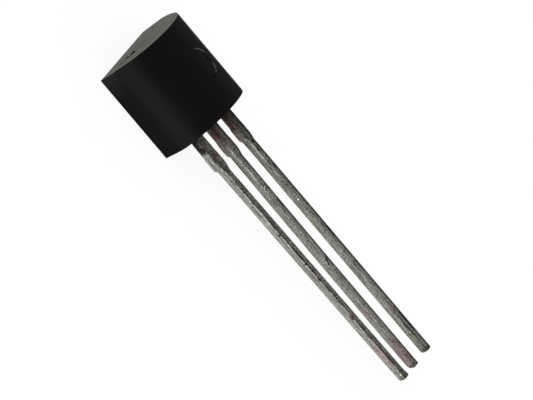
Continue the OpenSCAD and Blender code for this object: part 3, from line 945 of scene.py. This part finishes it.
def tinPlate(side, look, seed):
    # satin tin plate on a stamped copper alloy strip: drawn streaks along the lead, a painted highlight along
    # the corner, painted shade near the body with some staining in it, face tones painted lighter and darker
    # as the light falls on each face, and brown-red where the alloy shows through
    own, corner, ragged = look["leads"][side], look["corner"], look["ragged"]
    material, add = newMaterial(side + " lead, satin tin plate over copper alloy")
    place = add("ShaderNodeAttribute", attribute_name="alongLead").outputs["Vector"]
    axes = add("ShaderNodeSeparateXYZ", [place]).outputs
    # place round the section: near 0 at the upper left corner, below it over the upper face, above it down
    # the left side
    girth = add("ShaderNodeMath", [axes["X"], axes["Z"]], operation="ADD")
    girth = add("ShaderNodeMath", [girth, -1.0], operation="MULTIPLY")
    shifted = add("ShaderNodeVectorMath", [place, (look["seedStep"] * seed, 0, 0)], operation="ADD")
    across, along = look["streakSize"]
    streakPlace = add("ShaderNodeVectorMath", [shifted, (1 / across, 1 / along, 1 / across)],
                      operation="MULTIPLY")
    streak = add("ShaderNodeTexNoise", {"Vector": streakPlace, "Scale": 1.0, "Detail": 2.0})
    grain = add("ShaderNodeTexNoise", {"Vector": shifted, "Scale": 1 / look["grainSize"], "Detail": 2.0,
                "Roughness": 0.7})
    wander = add("ShaderNodeTexNoise", {"Vector": shifted, "Scale": 1 / ragged["size"], "Detail": 3.0})

    cornerLine = add("ShaderNodeMapRange", [axes["Y"], *corner["run"], *own["cornerPlace"]])
    further, wider = (add("ShaderNodeMapRange", [axes["Y"], *look["stumpEnd"], 0.0, step],
                          interpolation_type="SMOOTHSTEP")
                      for step in (own["stumpCorner"], look["wideBorder"]))
    cornerLine = add("ShaderNodeMath", [cornerLine, further], operation="ADD")
    pastCorner = add("ShaderNodeMath", [girth, cornerLine], operation="SUBTRACT")
    onSide = add("ShaderNodeMapRange", [pastCorner, -corner["soft"], corner["soft"]],
                 interpolation_type="SMOOTHSTEP")
    # painted light and shade: each face gets its own tone, per lead, as the light falls on it
    towardsTip = add("ShaderNodeMapRange", [axes["Y"], *look["toneRun"]])
    upper, flank = (add("ShaderNodeMix", {"Factor": towardsTip, "A": hexToLinear(first),
                        "B": hexToLinear(second)}, data_type="RGBA").outputs[2]
                    for first, second in (own["upper"], own["side"]))
    colour = add("ShaderNodeMix", {"Factor": onSide, "A": upper, "B": flank}, data_type="RGBA")
    # painted shade by the body, where it shadows the shoulder, with some staining in it
    nearBodyShade = own["shoulder"]
    nearBodyShadeShare = add("ShaderNodeMapRange", [axes["Y"], *nearBodyShade["end"], 0.0, nearBodyShade["strength"]],
                  interpolation_type="SMOOTHSTEP")
    colour = add("ShaderNodeMix", {"Factor": nearBodyShadeShare, "A": colour, "B": hexToLinear(nearBodyShade["colour"])},
                 data_type="RGBA")
    fromBorder = add("ShaderNodeMath", [girth, wider], operation="ADD")
    shading = own["shading"]
    across = add("ShaderNodeMapRange", [fromBorder, shading[0][0], shading[-1][0]])
    shade = add("ShaderNodeValToRGB", [across])
    setStops(shade, [(place, (share, share, share, 1)) for place, share in shading])
    fromCorner = add("ShaderNodeMath", [pastCorner], operation="ABSOLUTE")
    nearCorner = add("ShaderNodeMapRange",
                     [fromCorner, *reversed(corner["width"]), 0.0, own["cornerStrength"]],
                     interpolation_type="SMOOTHSTEP")
    fade = add("ShaderNodeMapRange", [axes["Y"], *own["cornerFade"], 1.0, corner["atTip"]])
    start = add("ShaderNodeMapRange", [axes["Y"], *corner["start"]])
    broken = add("ShaderNodeMapRange", [streak, *corner["broken"]])
    upLeft = add("ShaderNodeMath", [axes["Z"], axes["X"]], operation="SUBTRACT")
    onCorner = add("ShaderNodeMapRange", [upLeft, 0.0, corner["diagonal"]])
    nearCorner = add("ShaderNodeMath", [nearCorner, onCorner], operation="MULTIPLY")
    # painted highlight along the upper left corner, laid over the tones of the faces
    cornerHighlight = nearCorner
    for share in (fade, start, broken):
        cornerHighlight = add("ShaderNodeMath", [cornerHighlight, share], operation="MULTIPLY")
    colour = add("ShaderNodeMix", {"Factor": cornerHighlight, "A": colour, "B": hexToLinear(corner["tone"])},
                 data_type="RGBA")

    half = ragged["share"] / 2
    edge = add("ShaderNodeMapRange", [wander, *ragged["span"], -half, half])
    unrolled = add("ShaderNodeCombineXYZ", {"X": axes["Y"], "Y": girth})
    metal = add("ShaderNodeMapRange", [cornerHighlight, 0.0, 1.0, 1.0, 1 - corner["matt"]])
    for mark in own["marks"]:
        colour, metal = addMark(add, look, unrolled, edge, colour, metal, mark)

    streaked = add("ShaderNodeMapRange", [streak, *noiseSpan, 1 - look["streaks"], 1 + look["streaks"]])
    grains = add("ShaderNodeMix", {"Factor": onSide, "A": own["grains"][0], "B": own["grains"][1]})
    grained = add("ShaderNodeMapRange", [grain, *look["grainSpan"], -1.0, 1.0])
    grained = add("ShaderNodeMath", [grained, grains, 1.0], operation="MULTIPLY_ADD")
    tone = streaked
    for share in (grained, shade):
        tone = add("ShaderNodeMath", [tone, share], operation="MULTIPLY")
    colour = add("ShaderNodeVectorMath", {"Vector": colour.outputs[2], "Scale": tone}, operation="SCALE")
    roughness = add("ShaderNodeMapRange", [streak, *noiseSpan, *look["roughness"]])
    roughness = add("ShaderNodeMix", {"Factor": nearCorner, "A": roughness, "B": corner["roughness"]})
    bump = add("ShaderNodeBump", {"Height": grain, "Distance": look["grainDepth"] * mm})
    shader = add("ShaderNodeBsdfPrincipled", {"Base Color": colour, "Metallic": metal, "Roughness": roughness,
                 "Normal": bump})
    add("ShaderNodeOutputMaterial", {"Surface": shader})
    return material


def insideLead(look, side):
    # the part of the frame that the moulded body hides, cut off where the swept part takes over
    inside = mergedCopy(side + "_lead", "inside")
    with editing(inside.data) as shape:
        bmesh.ops.bisect_plane(shape, geom=[*shape.verts, *shape.edges, *shape.faces], dist=1e-9,
                               plane_co=Vector((0, look["partY"], 0)) * mm, plane_no=(0, -1, 0),
                               clear_outer=True)
        bmesh.ops.holes_fill(shape, edges=[e for e in shape.edges if e.is_boundary], sides=0)
    return inside


def makeLead(look, tree, side):
    tin = tinPlate(side, tinLook, look["leads"][side]["Seed"])
    lead = sweepLead(tree, look, side, tin)
    inside = insideLead(look, side)
    inside.data.materials.append(tin)
    combine(lead, inside, "UNION", "MANIFOLD")  # the exact solver leaves slits round the joint
    smoothShade(lead, look["sharpAngle"])
    markAlongLead(lead, look, side)
    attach(lead, "root")
    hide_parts(side + "_lead")
    print(side, "lead done,", len(lead.data.polygons), "faces")


leadTree = buildLeadTree(leadRow)
for side in leadRow["leads"]:
    makeLead(leadRow, leadTree, side)


hiddenLooks = {
    # two tones, the roughness, and the size of their drift in mm along X, Y and Z
    "polished silicon chip": {
        "tones": ("4e5763", "66707c"), "roughness": (0.12, 0.2), "drift": (0.12, 0.12, 0.12),
        "pieces": ["die"],
    },
    "soft solder, reflowed": {
        "tones": ("9a9c9e", "b8babb"), "roughness": (0.32, 0.5), "drift": (0.08, 0.08, 0.08),
        "pieces": ["die_solder"],
    },
    "drawn gold bond wire": {
        "tones": ("d9a632", "ecc060"), "roughness": (0.2, 0.3), "drift": (0.3, 0.02, 0.02),
        "pieces": ["left_bond_wire", "right_bond_wire"],
    },
}


def hiddenMetal(name, look):
    # the chip is sawn silicon, polished to a blue-grey mirror; the solder under it froze with a soft, cloudy
    # skin; the gold wires were drawn, so their tone drifts along them
    material, add = newMaterial(name)
    place = add("ShaderNodeTexCoord").outputs["Object"]
    stretched = add("ShaderNodeVectorMath", [place, tuple(1 / (d * mm) for d in look["drift"])],
                    operation="MULTIPLY")
    clouds = add("ShaderNodeTexNoise", {"Vector": stretched, "Scale": 1.0, "Detail": 3.0})
    dark, light = (hexToLinear(tone) for tone in look["tones"])
    colour = add("ShaderNodeMix", {"Factor": clouds, "A": dark, "B": light}, data_type="RGBA")
    rough = add("ShaderNodeMapRange", [clouds, *noiseSpan, *look["roughness"]])
    shader = add("ShaderNodeBsdfPrincipled", {"Base Color": colour, "Metallic": 1.0, "Roughness": rough})
    add("ShaderNodeOutputMaterial", {"Surface": shader})
    return material


for name, look in hiddenLooks.items():
    finish = hiddenMetal(name, look)
    for piece in look["pieces"]:
        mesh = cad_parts[piece].data
        mesh.materials.clear()
        mesh.materials.append(finish)
print("chip, solder and wires done")
